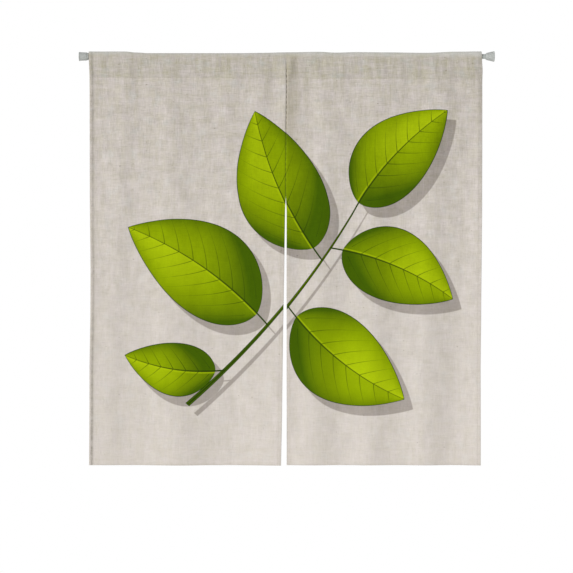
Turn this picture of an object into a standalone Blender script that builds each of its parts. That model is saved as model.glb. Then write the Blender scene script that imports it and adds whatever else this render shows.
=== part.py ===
"""A noren: two cloth panels, sewn together above a middle slit, hung by their sleeves on a tension rod.

Units are metres. +X runs along the rod from the left wall face to the right one, -Y is the side
that faces the room, and +Z is up. The origin is the middle of the left wall face, on the rod's axis.
"""

import math
from collections import namedtuple

import bmesh
import bpy
import numpy as np

# The cloth
CLOTH_THICK = 0.0010
HEM_EXTRA = 0.0008
SIDE_HEM = 0.0080
HEM_STEP = 0.0005
BOTTOM_HEM = 0.0365
PANEL_WIDTH = 0.4250
BOTTOM_Z = -0.8843
SLIT_TOP_Z = -0.3000
SEAM_X = 0.4476
SEAM_GAP = 0.0003

# The sleeve, a fold-over of the panel that is stitched down to its back
SEAM_Z_LEFT_END = -0.0440
SEAM_Z_RIGHT_END = -0.0500
SLEEVE_LAP = 0.0040
ROD_CLEARANCE = 0.0004

# The telescopic rod and its wall caps
ROD_SPAN = 0.8980
OUTER_TUBE_R = 0.0061
INNER_TUBE_R = 0.0052
TUBE_WALL = 0.0006
PIECE_GAP = 0.0003
OUTER_TUBE_END_X = 0.6000
TUBE_OVERLAP = 0.1000
CAP_FLOOR = 0.0060

# How finely the solids are cut
COLUMNS = 30
ROWS_ABOVE_SLIT_TOP = 6
ROWS_BESIDE_SLIT = 12
SLEEVE_WALL_ROWS = 2
SLEEVE_ARC_STEPS = 10
TURN_STEPS = 32

# Where the four long edges of the two panels stand along the rod, from the top down
EdgeRow = namedtuple("EdgeRow", "z left_outer left_inner right_inner right_outer")
SEAM_LEFT = SEAM_X - SEAM_GAP / 2
SEAM_RIGHT = SEAM_X + SEAM_GAP / 2
EDGES = (
    EdgeRow(0.0120, 0.0207, SEAM_LEFT, SEAM_RIGHT, 0.8704),
    EdgeRow(-0.0080, 0.0216, SEAM_LEFT, SEAM_RIGHT, 0.8708),
    EdgeRow(-0.0300, 0.0224, SEAM_LEFT, SEAM_RIGHT, 0.8728),
    EdgeRow(SLIT_TOP_Z, 0.0228, SEAM_LEFT, SEAM_RIGHT, 0.8719),
    EdgeRow(-0.3320, 0.0230, 0.4457, 0.4487, 0.8718),
    EdgeRow(-0.4660, 0.0244, 0.4437, 0.4487, 0.8705),
    EdgeRow(-0.5700, 0.0238, 0.4417, 0.4488, 0.8695),
    EdgeRow(-0.6740, 0.0220, 0.4402, 0.4489, 0.8684),
    EdgeRow(-0.7780, 0.0219, 0.4389, 0.4490, 0.8686),
    EdgeRow(BOTTOM_Z, 0.0212, 0.4368, 0.4490, 0.8686),
)

# How high the sleeve's crease stands above the rod's axis, along the rod
CreaseRow = namedtuple("CreaseRow", "x height")
CREASE = (
    CreaseRow(0.022, 0.0112),
    CreaseRow(0.100, 0.0114),
    CreaseRow(0.122, 0.0095),
    CreaseRow(0.150, 0.0077),
    CreaseRow(0.350, 0.0079),
    CreaseRow(0.395, 0.0085),
    CreaseRow(0.447, 0.0097),
    CreaseRow(0.520, 0.0106),
    CreaseRow(0.555, 0.0090),
    CreaseRow(0.600, 0.0101),
    CreaseRow(0.660, 0.0096),
    CreaseRow(0.750, 0.0085),
    CreaseRow(0.815, 0.0110),
    CreaseRow(0.872, 0.0114),
)

# Soft upright folds: where a ridge stands along the rod at the sleeve's seam and at the bottom, how
# far it comes forward at the seam, at the slit's top and at the bottom, and how far it reaches sideways
Fold = namedtuple("Fold", "x_top x_bottom rise_top rise_slit rise_bottom reach_top reach_bottom")
LEFT_FOLDS = (
    Fold(0.0225, 0.0212, 0.0006, 0.0010, 0.0020, 0.014, 0.022),
    Fold(0.0990, 0.0600, 0.0024, 0.0026, 0.0030, 0.026, 0.026),
    Fold(0.1960, 0.2140, 0.0024, 0.0048, 0.0110, 0.030, 0.058),
    Fold(0.3220, 0.3000, 0.0014, 0.0012, 0.0010, 0.024, 0.040),
    Fold(0.3850, 0.3800, 0.0016, 0.0017, 0.0020, 0.020, 0.040),
    Fold(SEAM_X, 0.4440, 0.0026, 0.0028, 0.0120, 0.018, 0.060),
)
RIGHT_FOLDS = (
    Fold(SEAM_X, 0.4490, 0.0026, 0.0028, 0.0010, 0.018, 0.020),
    Fold(0.5490, 0.5040, 0.0022, 0.0038, 0.0080, 0.030, 0.038),
    Fold(0.6460, 0.6290, 0.0024, 0.0040, 0.0080, 0.034, 0.036),
    Fold(0.7680, 0.7480, 0.0026, 0.0042, 0.0080, 0.034, 0.036),
    Fold(0.8720, 0.8700, 0.0012, 0.0028, 0.0070, 0.018, 0.036),
)
HANG_BACK_TOP = 0.0006
HANG_BACK_BOTTOM = 0.0040

Finish = namedtuple("Finish", "name colour roughness metallic")
CLOTH_FINISH = Finish("linen_cloth", (0.60, 0.56, 0.50, 1.0), 0.92, 0.0)
TUBE_FINISH = Finish("coated_tube", (0.47, 0.49, 0.47, 1.0), 0.35, 0.0)
CAP_FINISH = Finish("cap_plastic", (0.45, 0.47, 0.46, 1.0), 0.55, 0.0)

# A cap's outline: how far each point is from the wall, and how far from the rod's axis
CapPoint = namedtuple("CapPoint", "depth radius")
LEFT_CAP = (
    CapPoint(0.0000, 0.0093),
    CapPoint(0.0004, 0.0097),
    CapPoint(0.0018, 0.0097),
    CapPoint(0.0022, 0.0093),
    CapPoint(0.0100, 0.0089),
    CapPoint(0.0168, 0.0087),
    CapPoint(0.0173, 0.0082),
    CapPoint(0.0175, 0.0078),
    CapPoint(0.0200, 0.0077),
    CapPoint(0.0204, 0.0073),
)
RIGHT_CAP = (
    CapPoint(0.0000, 0.0108),
    CapPoint(0.0005, 0.0113),
    CapPoint(0.0017, 0.0113),
    CapPoint(0.0024, 0.0107),
    CapPoint(0.0060, 0.0103),
    CapPoint(0.0105, 0.0091),
    CapPoint(0.0150, 0.0080),
    CapPoint(0.0170, 0.0075),
    CapPoint(0.0181, 0.0067),
    CapPoint(0.0184, 0.0061),
)


def between(low, high, share):
    """The value that lies that share of the way from low to high."""
    return low + (high - low) * share


def crease_height(x):
    """The crease's height at x: each stretch of the table eased in and out by a half cosine."""
    stations = [row.x for row in CREASE]
    x = min(max(x, stations[0]), stations[-1])
    after = next(i for i, station in enumerate(stations[1:], 1) if x <= station)
    low, high = CREASE[after - 1], CREASE[after]
    share = (x - low.x) / (high.x - low.x)
    return between(low.height, high.height, (1 - math.cos(math.pi * share)) / 2)


def edge_at(side, z):
    """Where the named long edge stands along the rod at height z."""
    heights = [row.z for row in reversed(EDGES)]
    places = [getattr(row, side) for row in reversed(EDGES)]
    return float(np.interp(z, heights, places))


def seam_z(x):
    """The height of the sleeve's stitched seam, which drops a little towards the right."""
    share = (x - EDGES[0].left_outer) / (EDGES[0].right_outer - EDGES[0].left_outer)
    return between(SEAM_Z_LEFT_END, SEAM_Z_RIGHT_END, share)


def hang_y(folds, x, z):
    """Where the middle of the cloth hangs at x and z: bell-shaped ridges that come towards the room."""
    top = seam_z(x)
    share = (top - z) / (top - BOTTOM_Z)
    y = between(HANG_BACK_TOP, HANG_BACK_BOTTOM, share)
    for fold in folds:
        middle = between(fold.x_top, fold.x_bottom, share)
        reach = between(fold.reach_top, fold.reach_bottom, share)
        rises = (fold.rise_bottom, fold.rise_slit, fold.rise_top)
        rise = float(np.interp(z, (BOTTOM_Z, SLIT_TOP_Z, top), rises))
        y -= rise * math.exp(-(((x - middle) / reach) ** 2))
    return y


class Panel:
    """One panel's edges and folds, and the closed sections that its solid is built from."""

    def __init__(self, left_side, right_side, folds):
        self.left_side = left_side
        self.right_side = right_side
        self.folds = folds

    def x_at(self, share, z):
        return between(edge_at(self.left_side, z), edge_at(self.right_side, z), share)

    def column_shares(self):
        """Shares of the width: even columns, and a close pair where each side hem ends."""
        hem, step = SIDE_HEM / PANEL_WIDTH, HEM_STEP / PANEL_WIDTH
        inside = np.linspace(hem + step, 1 - hem - step, COLUMNS)
        return [0.0, hem, *inside, 1 - hem, 1.0]

    def drop_heights(self, x):
        """Heights of the rows below the sleeve's lap, down to the bottom edge."""
        top = seam_z(x) - SLEEVE_LAP - HEM_STEP
        hem_top = BOTTOM_Z + BOTTOM_HEM
        above = np.linspace(top, SLIT_TOP_Z, ROWS_ABOVE_SLIT_TOP)
        beside = np.linspace(SLIT_TOP_Z, hem_top + HEM_STEP, ROWS_BESIDE_SLIT)
        return [*above, *beside[1:], hem_top, BOTTOM_Z]

    def back_extra(self, share, z):
        """How much thicker the cloth is at its back where a hem is turned under."""
        edge = min(share, 1 - share) * PANEL_WIDTH
        in_hem = edge <= SIDE_HEM + 1e-6 or z <= BOTTOM_Z + BOTTOM_HEM + 1e-6
        return HEM_EXTRA if in_hem else 0.0

    def sections(self, share):
        """(outer, inner): the cloth's outer run from bottom front over the rod to bottom back, and
        the sleeve's inner run from its foot up the front, over the rod and down the back."""
        half = CLOTH_THICK / 2
        x_foot = self.x_at(share, (SEAM_Z_LEFT_END + SEAM_Z_RIGHT_END) / 2)
        foot = seam_z(x_foot)
        foot_y = hang_y(self.folds, x_foot, foot)
        drop = self.drop_heights(x_foot)

        def hung(z, offset):
            x = self.x_at(share, z)
            return (x, hang_y(self.folds, x, z) + offset, z)

        def wall(foot_offset, rod_y):
            """Rows of a sleeve wall between its foot and the rod, both ends left out."""
            steps = [(i + 1) / (SLEEVE_WALL_ROWS + 1) for i in range(SLEEVE_WALL_ROWS)]
            return [
                (
                    self.x_at(share, foot * (1 - s)),
                    between(foot_y + foot_offset, rod_y, s),
                    foot * (1 - s),
                )
                for s in steps
            ]

        def arc(side, top):
            """A half ellipse over the rod, from its front to its back."""
            turns = [math.pi * i / SLEEVE_ARC_STEPS for i in range(SLEEVE_ARC_STEPS + 1)]
            heights = [top * math.sin(a) for a in turns]
            return [(self.x_at(share, z), -side * math.cos(a), z) for a, z in zip(turns, heights)]

        inner_side = OUTER_TUBE_R + ROD_CLEARANCE
        crease = crease_height(self.x_at(share, 0.0))
        front = [hung(z, -half) for z in reversed(drop)]
        back = [hung(z, half + self.back_extra(share, z)) for z in drop]
        lap_end = foot - SLEEVE_LAP
        outer = [
            *front,
            hung(foot, -half),
            *wall(-half, -(inner_side + CLOTH_THICK)),
            *arc(inner_side + CLOTH_THICK, crease),
            *reversed(wall(half + CLOTH_THICK, inner_side + CLOTH_THICK)),
            hung(foot, half + CLOTH_THICK),
            hung(lap_end, half + CLOTH_THICK),
            *back,
        ]
        inner = [
            hung(foot, half),
            *wall(half, -inner_side),
            *arc(inner_side, crease - CLOTH_THICK),
            *reversed(wall(half, inner_side)),
        ]
        return outer, inner

    def side_faces(self, outer, inner, flip):
        """One cut end of the cloth: the drop, the small triangle at the seam and the sleeve's ring."""
        drop_rows = ROWS_ABOVE_SLIT_TOP + ROWS_BESIDE_SLIT + 1
        last = len(outer) - 1
        quads = [(outer[i], outer[i + 1], outer[last - i - 1], outer[last - i]) for i in range(drop_rows - 1)]
        top_front, lap_back = outer[drop_rows - 1], outer[last - drop_rows + 1]
        foot_front, foot_back = outer[drop_rows], outer[last - drop_rows - 1]
        lap = outer[last - drop_rows]
        quads.append((top_front, foot_front, lap, lap_back))
        quads.append((foot_front, inner[0], foot_back, lap))
        ring = outer[drop_rows : last - drop_rows]
        loop = [*inner, inner[0]]
        quads += [(ring[i], ring[i + 1], loop[i + 1], loop[i]) for i in range(len(ring) - 1)]
        return [tuple(reversed(q)) for q in quads] if flip else quads

    def build(self, name, finish):
        """The panel as one closed solid: outer skin, sleeve lining, bottom edge and two cut ends."""
        mesh = bmesh.new()
        columns = []
        for share in self.column_shares():
            outer, inner = self.sections(share)
            columns.append(([mesh.verts.new(p) for p in outer], [mesh.verts.new(p) for p in inner]))
        for (outer_a, inner_a), (outer_b, inner_b) in zip(columns, columns[1:]):
            for i in range(len(outer_a)):
                j = (i + 1) % len(outer_a)
                mesh.faces.new((outer_a[i], outer_b[i], outer_b[j], outer_a[j]))
            for i in range(len(inner_a)):
                j = (i + 1) % len(inner_a)
                mesh.faces.new((inner_a[i], inner_a[j], inner_b[j], inner_b[i]))
        for (outer, inner), flip in ((columns[0], False), (columns[-1], True)):
            for corners in self.side_faces(outer, inner, flip):
                mesh.faces.new(corners)
        return finished_object(mesh, name, finish)


def material_for(finish):
    """A Principled material with the finish's colour, roughness and metallic value."""
    material = bpy.data.materials.get(finish.name) or bpy.data.materials.new(finish.name)
    material.use_nodes = True
    shader = material.node_tree.nodes["Principled BSDF"]
    shader.inputs["Base Color"].default_value = finish.colour
    shader.inputs["Roughness"].default_value = finish.roughness
    shader.inputs["Metallic"].default_value = finish.metallic
    return material


def finished_object(mesh, name, finish):
    """The bmesh as an object in the scene, facing outwards, smooth but for its sharp edges."""
    bmesh.ops.recalc_face_normals(mesh, faces=mesh.faces)
    data = bpy.data.meshes.new(name)
    mesh.to_mesh(data)
    mesh.free()
    data.shade_smooth()
    data.set_sharp_from_angle(angle=math.radians(40))
    data.materials.append(material_for(finish))
    thing = bpy.data.objects.new(name, data)
    bpy.context.collection.objects.link(thing)
    return thing


def turned(name, outline, finish):
    """A solid of revolution about the rod's axis, from a closed outline of (x, radius) points."""
    mesh = bmesh.new()
    corners = [mesh.verts.new((x, 0.0, radius)) for x, radius in outline]
    edges = [mesh.edges.new((a, b)) for a, b in zip(corners, corners[1:] + corners[:1])]
    bmesh.ops.spin(
        mesh,
        geom=corners + edges,
        cent=(0.0, 0.0, 0.0),
        axis=(1.0, 0.0, 0.0),
        angle=math.tau,
        steps=TURN_STEPS,
        use_merge=True,
    )
    bmesh.ops.remove_doubles(mesh, verts=mesh.verts, dist=1e-6)
    bmesh.ops.dissolve_degenerate(mesh, edges=mesh.edges, dist=1e-7)
    return finished_object(mesh, name, finish)


def tube(name, start_x, end_x, radius):
    """A plain round tube with an open bore."""
    bore = radius - TUBE_WALL
    outline = ((start_x, radius), (end_x, radius), (end_x, bore), (start_x, bore))
    return turned(name, outline, TUBE_FINISH)


def cap(name, wall_x, inward, outline, tube_radius):
    """A wall cap: a flat face on the wall, the given outline, and a blind socket for the tube."""
    socket = tube_radius + PIECE_GAP
    mouth = outline[-1].depth
    points = [(0.0, 0.0), *((p.depth, p.radius) for p in outline)]
    points += [(mouth, socket), (CAP_FLOOR, socket), (CAP_FLOOR, 0.0)]
    return turned(name, [(wall_x + inward * depth, radius) for depth, radius in points], CAP_FINISH)


def clear_scene():
    for thing in list(bpy.data.objects):
        bpy.data.objects.remove(thing, do_unlink=True)


def build_rod():
    tube_start = CAP_FLOOR + PIECE_GAP
    tube("rod_outer_tube", tube_start, OUTER_TUBE_END_X, OUTER_TUBE_R)
    tube("rod_inner_tube", OUTER_TUBE_END_X - TUBE_OVERLAP, ROD_SPAN - tube_start, INNER_TUBE_R)
    cap("end_cap_left", 0.0, 1, LEFT_CAP, OUTER_TUBE_R)
    cap("end_cap_right", ROD_SPAN, -1, RIGHT_CAP, INNER_TUBE_R)


def build_panels():
    Panel("left_outer", "left_inner", LEFT_FOLDS).build("panel_left", CLOTH_FINISH)
    Panel("right_inner", "right_outer", RIGHT_FOLDS).build("panel_right", CLOTH_FINISH)


def main():
    clear_scene()
    build_rod()
    build_panels()


main()
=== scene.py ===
"""Looks of a noren: two printed panels of coarse linen, sewn together above a slit, on a tension rod.

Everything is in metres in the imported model's frame: +X runs along the rod, -Y faces the room and +Z is
up. A spot on the cloth is given by its share of a panel's width and by its path, the length of cloth
from the bottom edge up the front, over the rod and down the back of the sleeve.
"""

import math
from collections import namedtuple

import bpy
import numpy as np
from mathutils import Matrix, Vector


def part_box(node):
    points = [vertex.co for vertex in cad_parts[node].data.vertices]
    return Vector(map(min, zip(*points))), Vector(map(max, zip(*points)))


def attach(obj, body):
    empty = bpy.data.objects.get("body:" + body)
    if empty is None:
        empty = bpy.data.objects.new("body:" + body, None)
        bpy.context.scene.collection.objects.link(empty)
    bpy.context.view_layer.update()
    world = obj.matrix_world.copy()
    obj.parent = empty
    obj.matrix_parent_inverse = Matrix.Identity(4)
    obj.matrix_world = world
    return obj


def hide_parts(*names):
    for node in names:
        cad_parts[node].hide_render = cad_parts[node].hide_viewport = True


# The cloth: one layer and what a hem adds to it, the hems' widths, and the two panels' size and place
CLOTH = 0.0008
HEM_LAYER = 0.0007
HEM_STEP = 0.0006
SIDE_HEM = 0.0080
BOTTOM_HEM = 0.0365
PANEL_WIDTH = 0.4250
BOTTOM_Z = -0.8843
SLIT_TOP_Z = -0.3000
SEAM_X = 0.4476
SEAM_LAP = 0.0003
RIM = 0.00075
HEM_STITCH_IN = 0.0065
BOTTOM_STITCH_UP = 0.0340

# The sleeve: how high its stitched seam lies at both ends, the room beside the rod, how far its walls
# belly out, and how far behind the front layer its back layer lies at the seam
SEAM_Z_LEFT_END = -0.0455
SEAM_Z_RIGHT_END = -0.0500
ROD_ROOM = 0.0065
BELLY = 0.0009
LAYER_BEHIND = 1.1 * CLOTH

# Where the four long edges of the two panels stand along the rod, from the top down
EdgeRow = namedtuple("EdgeRow", "z left_outer left_inner right_inner right_outer")
SEAM_LEFT = SEAM_X + SEAM_LAP
SEAM_RIGHT = SEAM_X - SEAM_LAP
EDGES = [EdgeRow(*row) for row in (
    (0.0120, 0.0207, SEAM_LEFT, SEAM_RIGHT, 0.8704),
    (-0.0080, 0.0216, SEAM_LEFT, SEAM_RIGHT, 0.8708),
    (-0.0300, 0.0224, SEAM_LEFT, SEAM_RIGHT, 0.8724),
    (SLIT_TOP_Z, 0.0228, SEAM_LEFT, SEAM_RIGHT, 0.8715),
    (-0.3320, 0.0230, 0.4457, 0.4487, 0.8714),
    (-0.4660, 0.0244, 0.4437, 0.4487, 0.8701),
    (-0.5700, 0.0238, 0.4417, 0.4488, 0.8691),
    (-0.6740, 0.0220, 0.4402, 0.4489, 0.8680),
    (-0.7780, 0.0219, 0.4389, 0.4490, 0.8682),
    (BOTTOM_Z, 0.0212, 0.4368, 0.4490, 0.8682),
)]

# The sewn seam's line: a height, and how far to the right of SEAM_X the seam wanders there
SeamRow = namedtuple("SeamRow", "z drift")
SEAM_LINE = [SeamRow(*row) for row in (
    (-0.3320, 0.0000),
    (-0.3000, -0.0005),
    (-0.2300, -0.0006),
    (-0.1900, 0.0000),
    (-0.1500, 0.0001),
    (-0.1240, 0.0004),
    (-0.0980, 0.0009),
    (-0.0730, 0.0014),
    (-0.0300, 0.0012),
    (0.0120, 0.0006),
)]

# The sleeve's crease: a place along the rod, and how high above the rod's axis the crease stands there
CreaseRow = namedtuple("CreaseRow", "x height")
CREASE = [CreaseRow(*row) for row in (
    (0.022, 0.0108),
    (0.100, 0.0108),
    (0.122, 0.0087),
    (0.150, 0.0072),
    (0.350, 0.0072),
    (0.395, 0.0078),
    (0.447, 0.0090),
    (0.520, 0.0100),
    (0.555, 0.0083),
    (0.600, 0.0094),
    (0.660, 0.0089),
    (0.750, 0.0079),
    (0.815, 0.0104),
    (0.872, 0.0110),
)]

# The main folds, within 3 mm of the solids': where a ridge stands at the sleeve's seam and at the
# bottom, how far it comes forward at the seam, at the slit's top and at the bottom, and its reach
Fold = namedtuple("Fold", "x_top x_bottom rise_top rise_slit rise_bottom reach_top reach_bottom")
LEFT_FOLDS = (
    Fold(0.0225, 0.0212, 0.0006, 0.0003, 0.0020, 0.014, 0.022),
    Fold(0.0990, 0.0600, 0.0024, 0.0026, 0.0030, 0.026, 0.026),
    Fold(0.1960, 0.2140, 0.0024, 0.0048, 0.0100, 0.030, 0.058),
    Fold(0.3220, 0.3000, 0.0014, 0.0012, 0.0010, 0.024, 0.040),
    Fold(0.3850, 0.3800, 0.0016, 0.0017, 0.0020, 0.020, 0.040),
    Fold(SEAM_X, 0.4440, 0.0026, 0.0028, 0.0112, 0.018, 0.060),
)
RIGHT_FOLDS = (
    Fold(SEAM_X, 0.4490, 0.0026, 0.0028, 0.0010, 0.018, 0.020),
    Fold(0.5490, 0.5040, 0.0022, 0.0040, 0.0068, 0.030, 0.038),
    Fold(0.6460, 0.6290, 0.0026, 0.0042, 0.0066, 0.034, 0.036),
    Fold(0.7680, 0.7480, 0.0030, 0.0044, 0.0066, 0.034, 0.036),
    Fold(0.8720, 0.8700, 0.0012, 0.0056, 0.0090, 0.018, 0.036),
)
HANG_BACK_TOP = 0.0006
HANG_BACK_BOTTOM = 0.0040

# Short soft creases that only the fine cloth has: their middle, how far they come forward (or go
# back, if negative), how far they reach sideways and lengthways, and how far they lean
Pucker = namedtuple("Pucker", "x z rise reach length lean")
PUCKERS = [Pucker(*row) for row in (
    (0.0620, -0.062, 0.0006, 0.006, 0.030, 0.05),
    (0.1280, -0.058, -0.0005, 0.005, 0.024, -0.04),
    (0.2110, -0.060, -0.0006, 0.007, 0.030, 0.02),
    (0.2580, -0.064, 0.0004, 0.005, 0.022, 0.03),
    (0.3500, -0.062, -0.0005, 0.006, 0.034, -0.02),
    (0.4180, -0.066, -0.0006, 0.006, 0.040, 0.02),
    (0.4780, -0.062, -0.0007, 0.007, 0.032, -0.05),
    (0.5720, -0.058, -0.0006, 0.006, 0.028, 0.03),
    (0.6050, -0.064, 0.0004, 0.005, 0.024, -0.02),
    (0.6880, -0.060, -0.0006, 0.008, 0.034, 0.02),
    (0.7300, -0.066, 0.0004, 0.006, 0.030, 0.04),
    (0.8100, -0.060, -0.0006, 0.008, 0.036, -0.03),
    (0.8480, -0.064, 0.0005, 0.005, 0.028, 0.02),
    (0.3975, -0.085, 0.0009, 0.011, 0.050, 0.01),
    (0.6890, -0.088, 0.0019, 0.018, 0.060, 0.02),
    (0.7970, -0.090, 0.0014, 0.015, 0.060, 0.01),
    (0.1120, -0.180, -0.0005, 0.012, 0.080, 0.03),
    (0.2700, -0.150, 0.0005, 0.012, 0.070, -0.02),
    (0.5050, -0.170, -0.0006, 0.012, 0.080, -0.04),
    (0.7060, -0.160, -0.0005, 0.014, 0.080, 0.02),
    (0.8250, -0.150, 0.0005, 0.010, 0.060, 0.02),
    (0.1300, -0.640, 0.0007, 0.016, 0.110, 0.05),
    (0.3350, -0.760, -0.0007, 0.018, 0.090, 0.03),
    (0.5650, -0.720, -0.0007, 0.016, 0.110, 0.02),
    (0.6900, -0.620, -0.0006, 0.014, 0.100, -0.03),
    (0.8100, -0.740, -0.0007, 0.015, 0.110, 0.02),
)]

# Upright creases in the sleeve's front, below the rod: their middle, how far they come forward, and
# how far they reach sideways
SleeveCrease = namedtuple("SleeveCrease", "x rise reach")
SLEEVE_CREASES = [SleeveCrease(*row) for row in (
    (0.0520, 0.0007, 0.009),
    (0.1300, 0.0004, 0.008),
    (0.2060, 0.0008, 0.010),
    (0.3000, 0.0004, 0.012),
    (0.3815, 0.0017, 0.011),
    (0.4380, 0.0006, 0.007),
    (0.4562, 0.0027, 0.0072),
    (0.5110, 0.0005, 0.010),
    (0.5700, 0.0009, 0.009),
    (0.6400, 0.0005, 0.012),
    (0.7000, 0.0005, 0.009),
    (0.7680, 0.0009, 0.010),
    (0.8020, 0.0008, 0.009),
    (0.8520, 0.0006, 0.008),
)]

# The unevenness of washed linen: how many waves, how high each is as a share of its length, and what
# is left of them at the bottom. Then that of the sleeve: how many waves, how high and how slanted each
# is, and what is left of them at the back
RUMPLES = 40
RUMPLE_SHARE = 0.0017
RUMPLE_AT_BOTTOM = 0.7
CRUMPLES = 9
CRUMPLE_HEIGHT = 0.00018
CRUMPLE_SLANT = 0.12
CRUMPLE_AT_BACK = 0.5

# Where the panels are sewn together the cloth stands in a low ridge, with a groove along its top
SEAM_RIDGE_RISE = 0.0010
SEAM_RIDGE_REACH = 0.0105
SEAM_GROOVE_DEPTH = 0.0013
SEAM_GROOVE_REACH = 0.0013

# How far below the slit's top the ridge, its groove and their painted shades start, and over what height
RIDGE_START = (0.05, 0.09)
GROOVE_START = (0.01, 0.02)
SHADE_START = (0.03, 0.06)

# How far below the rod's axis the side hems' thickness starts, and over what height. Then the same for
# the groove's painted shade, and for its change from the sleeve's strength to the drop's
HEM_START = (0.004, 0.020)
GROOVE_SHADE_START = (0.010, 0.012)
DROP_SHADE_START = (0.042, 0.010)

# How deep stitches pull the cloth in, what share of that the inner side takes, how far it reaches
# beside the side, bottom and sleeve stitches, how long its ripple down the side hems is, and how near
# the sewn seam it is left out
PULL_DEPTH = 0.00022
INNER_PULL = 0.6
SIDE_PULL = 0.0008
BOTTOM_PULL = 0.0009
SLEEVE_PULL = 0.0011
PULL_RIPPLE = 0.011
SEWN_REACH = 0.020

# How much painted shade greys the cloth along each side of the panels, at the top, just above the middle
# and at the bottom, how far from the edge it is greyest at both ends, and how far that reaches. Then which
# shares of the drop those three heights are, and how strong the painted shades are right of the sewn seam,
# in its groove, in the sleeve's part of the groove and along the bottom edge
SideShade = namedtuple("SideShade", "top middle bottom place_top place_bottom reach")
SIDE_SHADES = {
    "left_outer": SideShade(0.70, 0.54, 1.00, 0.0062, 0.0050, 0.0032),
    "left_inner": SideShade(0.12, 0.11, 0.10, 0.0010, 0.0010, 0.0040),
    "right_inner": SideShade(0.05, 0.07, 0.10, 0.0010, 0.0010, 0.0040),
    "right_outer": SideShade(0.50, 0.00, 0.05, 0.0028, 0.0010, 0.0050),
}
SHADE_HEIGHTS = (0.0, 0.45, 1.0)
SEAM_SHADE = 0.27
SEAM_SHADE_WIDTH = 0.046
GROOVE_SHADE = 0.80
SLEEVE_GROOVE_SHADE = 0.35
BOTTOM_SHADE = 0.30
BOTTOM_SHADE_UP = 0.004

# How finely the cloth is cut: up from the bottom edge and round its hem's stitches, up the drop, round
# the sleeve, down the lap behind it, and across, close together over the hems. Crowding is how much
# closer the drop's rows lie near the sleeve than near the bottom
ROWS_IN_HEM = (0.0, 0.0002, 0.0008, 0.0024, 0.006, 0.012, 0.019, 0.026, 0.031)
ROWS_AT_STITCH = (-0.0008, 0.0, 0.0008, 0.0019, 0.0027, 0.0045)
DROP_ROWS = 176
CROWDING = 0.12
WALL_ROWS = 11
ARC_ROWS = 18
ROWS_IN_LAP = (0.0, 0.0012, 0.0024, 0.0034, 0.0038, 0.0040)
COLUMNS = 118
COLUMNS_IN_HEM = (0.0, 0.0007, 0.0018, 0.0032, 0.0046, 0.0056, 0.0062, 0.0068, 0.0074, 0.0081, 0.0088)
NEXT_COLUMN = 0.0022
END_ROUNDING = (0.30, 0.72, 1.0)
RIM_TURNS = (-50.0, 0.0, 50.0)

# The sprig that is printed over both panels: where each leaf's stalk leaves the twig, where its tip
# is, its half width, how far its rib bows, how dark it is, and how far apart its side veins are
Blade = namedtuple("Blade", "base_x base_z tip_x tip_z half_width bow darkness veins")
TWIG = Blade(0.2398, -0.7518, 0.5903, -0.3407, 0.0054, -0.022, 0.50, 0.0)
LEAVES = (
    Blade(0.3206, -0.6787, 0.0990, -0.6460, 0.058, 0.014, 0.10, 0.028),
    Blade(0.4141, -0.5809, 0.1050, -0.3690, 0.098, -0.022, 0.04, 0.036),
    Blade(0.4492, -0.5398, 0.7060, -0.7420, 0.092, -0.022, 0.00, 0.036),
    Blade(0.5247, -0.4409, 0.3800, -0.1180, 0.092, 0.020, 0.08, 0.036),
    Blade(0.5432, -0.4142, 0.8120, -0.5250, 0.080, 0.018, 0.05, 0.033),
    Blade(0.5903, -0.3407, 0.7980, -0.1160, 0.080, 0.018, 0.00, 0.033),
)
LEAF_BASE_POWER = 0.62
LEAF_TIP_POWER = 0.92
TWIG_TAPER = 0.36
STALK_HALF_WIDTH = 0.0017
STALK_SHARE = 0.09
SHADOW_RIGHT = 0.0190
SHADOW_DOWN = 0.0215

# Thread: how long a stitch shows, how far it is to the next one, and its radius. Then where lines of
# stitches start and stop, at how many spots a line's route is worked out, and a stitch's own shape:
# its rise and dip in radii, and how thick its ends are as a share of its middle
Stitching = namedtuple("Stitching", "length gap radius")
HEM_STITCHES = Stitching(0.0030, 0.0009, 0.00030)
SEAM_STITCHES = Stitching(0.0078, 0.0034, 0.00055)
TACK = Stitching(0.0026, 0.0002, 0.00058)
TACK_LENGTH = 0.0180
TACK_BELOW_SLIT = 0.0020
SEAM_THREAD_TOP = -0.030
FIRST_STITCH = 0.0020
HEMS_BELOW_SLIT = 0.0040
SIDE_SPOTS = 260
CROSS_SPOTS = 200
STITCH_RISE = 1.5
STITCH_DIP = 0.75
STITCH_END = 0.55
STITCH_STEPS = 6
STITCH_SIDES = 6

# A cap's outline from its wall face to its mouth: how far each point is from the wall, and from the
# rod's axis. Then its socket's floor, how finely and how smoothly it is turned, the bevel at its mouth,
# the angle in degrees from which an edge looks sharp, and the play round the tube
CapPoint = namedtuple("CapPoint", "depth radius")
LEFT_CAP = [CapPoint(*row) for row in (
    (0.0000, 0.0092),
    (0.0005, 0.0097),
    (0.0018, 0.0097),
    (0.0023, 0.0092),
    (0.0100, 0.0089),
    (0.0166, 0.0087),
    (0.0173, 0.0082),
    (0.0175, 0.0078),
    (0.0200, 0.0077),
    (0.0204, 0.0072),
)]
RIGHT_CAP = [CapPoint(*row) for row in (
    (0.0000, 0.0107),
    (0.0005, 0.0113),
    (0.0017, 0.0113),
    (0.0024, 0.0107),
    (0.0060, 0.0103),
    (0.0105, 0.0091),
    (0.0150, 0.0080),
    (0.0170, 0.0075),
    (0.0181, 0.0067),
    (0.0184, 0.0061),
)]
CAP_FLOOR = 0.0060
CAP_TURNS = 96
CAP_SMOOTHING = 3
CAP_BEVEL = 0.0004
CAP_SHARP_ANGLE = 50.0
TUBE_PLAY = 0.0003

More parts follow.
